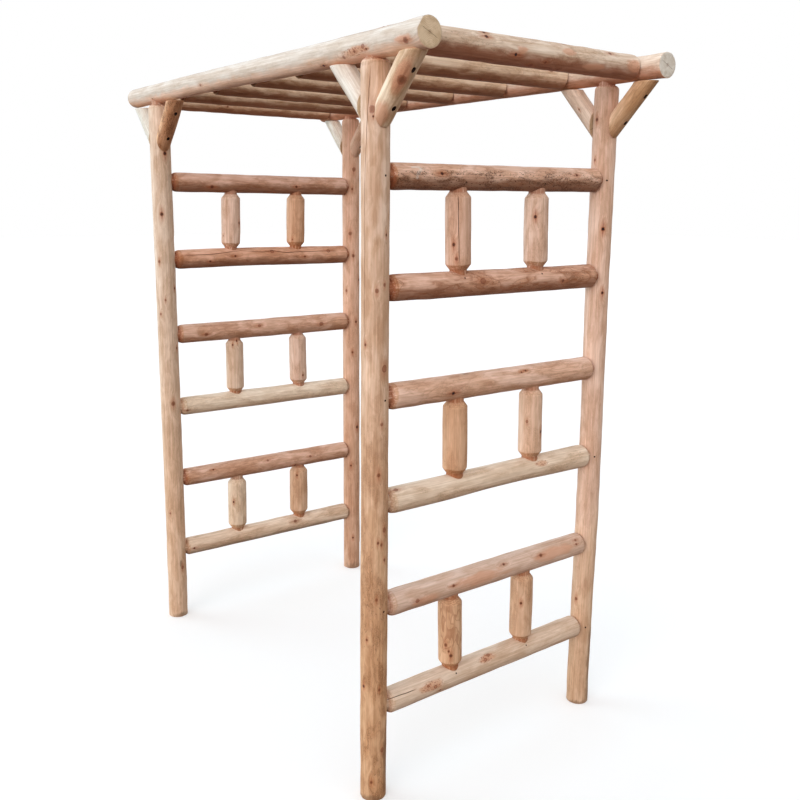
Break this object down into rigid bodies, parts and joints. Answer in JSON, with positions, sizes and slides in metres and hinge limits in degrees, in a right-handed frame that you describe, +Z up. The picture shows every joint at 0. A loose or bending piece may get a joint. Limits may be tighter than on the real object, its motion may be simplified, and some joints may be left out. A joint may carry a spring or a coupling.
{
  "type": "garden arbor",
  "caption": "Walk-through garden arbor of peeled round logs: two ladder sides with short spindles, braced beams and an open rafter roof.",
  "frame": {"origin": "on the ground, in the middle of the four posts", "axes": "+Z up; +Y from the front of the arbor to its back, along the walkway and the rails; +X to the right, along the beams"},
  "size_m": [1.867, 0.945, 2.1275],
  "materials": {
    "post": "peeled and draw-knifed log, unfinished",
    "beam": "peeled and draw-knifed log, unfinished",
    "rafter": "peeled and draw-knifed log, unfinished",
    "rail": "peeled and draw-knifed log, unfinished",
    "spindle": "peeled and draw-knifed log, unfinished",
    "brace": "peeled and draw-knifed log, unfinished"
  },
  "bodies": {
    "root": {"post_front_left": "post", "post_front_right": "post", "post_back_left": "post", "post_back_right": "post", "beam_front": "beam", "beam_back": "beam", "rafter_1": "rafter", "rafter_2": "rafter", "rafter_3": "rafter", "rafter_4": "rafter", "rafter_5": "rafter", "rafter_6": "rafter", "rafter_7": "rafter", "rail_left_1": "rail", "rail_left_2": "rail", "rail_left_3": "rail", "rail_left_4": "rail", "rail_left_5": "rail", "rail_left_6": "rail", "rail_right_1": "rail", "rail_right_2": "rail", "rail_right_3": "rail", "rail_right_4": "rail", "rail_right_5": "rail", "rail_right_6": "rail", "spindle_left_low_front": "spindle", "spindle_left_low_back": "spindle", "spindle_left_middle_front": "spindle", "spindle_left_middle_back": "spindle", "spindle_left_top_front": "spindle", "spindle_left_top_back": "spindle", "spindle_right_low_front": "spindle", "spindle_right_low_back": "spindle", "spindle_right_middle_front": "spindle", "spindle_right_middle_back": "spindle", "spindle_right_top_front": "spindle", "spindle_right_top_back": "spindle", "brace_front_left_inner": "brace", "brace_front_left_outer": "brace", "brace_front_right_inner": "brace", "brace_front_right_outer": "brace", "brace_back_left_inner": "brace", "brace_back_left_outer": "brace", "brace_back_right_inner": "brace", "brace_back_right_outer": "brace"}
  },
  "joints": []
}
